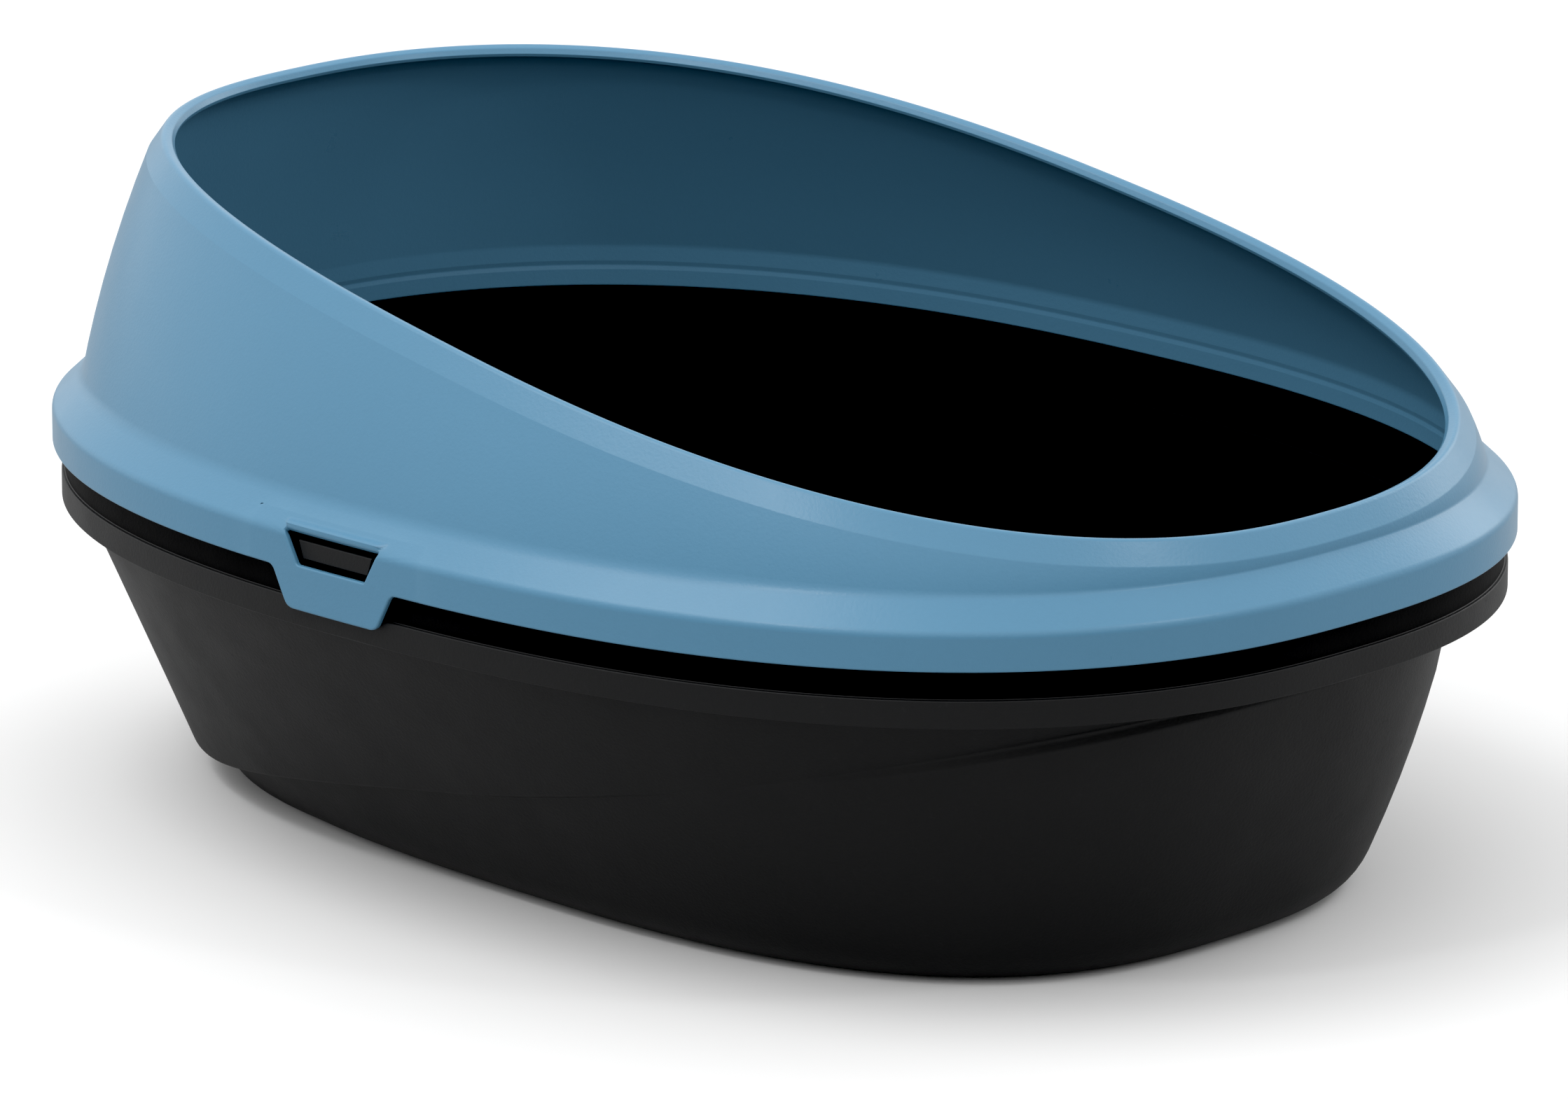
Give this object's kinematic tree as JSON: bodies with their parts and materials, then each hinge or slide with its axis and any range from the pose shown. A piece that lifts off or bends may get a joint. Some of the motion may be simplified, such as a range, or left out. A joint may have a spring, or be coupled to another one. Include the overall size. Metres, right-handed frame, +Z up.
{
  "type": "cat litter box",
  "caption": "Open oval cat litter box: a deep dark pan with a light blue clip-on rim that is low at the front and high at the rear, held by side clips.",
  "frame": {"origin": "on the floor, midway along the overall length and width", "axes": "+X to the right side, +Y to the rear, where the rim is high, +Z up"},
  "size_m": [0.493, 0.66, 0.2791],
  "materials": {
    "rim_plastic": "satin light blue polypropylene",
    "pan_plastic": "fine-grained dark grey polypropylene"
  },
  "bodies": {
    "pan": {"pan": "pan_plastic"},
    "hood": {"hood": "rim_plastic"},
    "clip_left": {"clip_left": "rim_plastic"},
    "clip_right": {"clip_right": "rim_plastic"}
  },
  "joints": [
    {"name": "hood_lift", "type": "slide", "parent": "pan", "child": "hood", "axis": [0, 0, 1], "range_m": [0, 0.15]},
    {"name": "clip_left_flex", "type": "hinge", "parent": "hood", "child": "clip_left", "pos_m": [-0.2419, 0.0123, 0.169], "axis": [0, 1, 0], "range_deg": [0, 8], "stiffness_Nm_per_rad": 1.2},
    {"name": "clip_right_flex", "type": "hinge", "parent": "hood", "child": "clip_right", "pos_m": [0.2419, 0.0123, 0.169], "axis": [0, -1, 0], "range_deg": [0, 8], "stiffness_Nm_per_rad": 1.2}
  ]
}
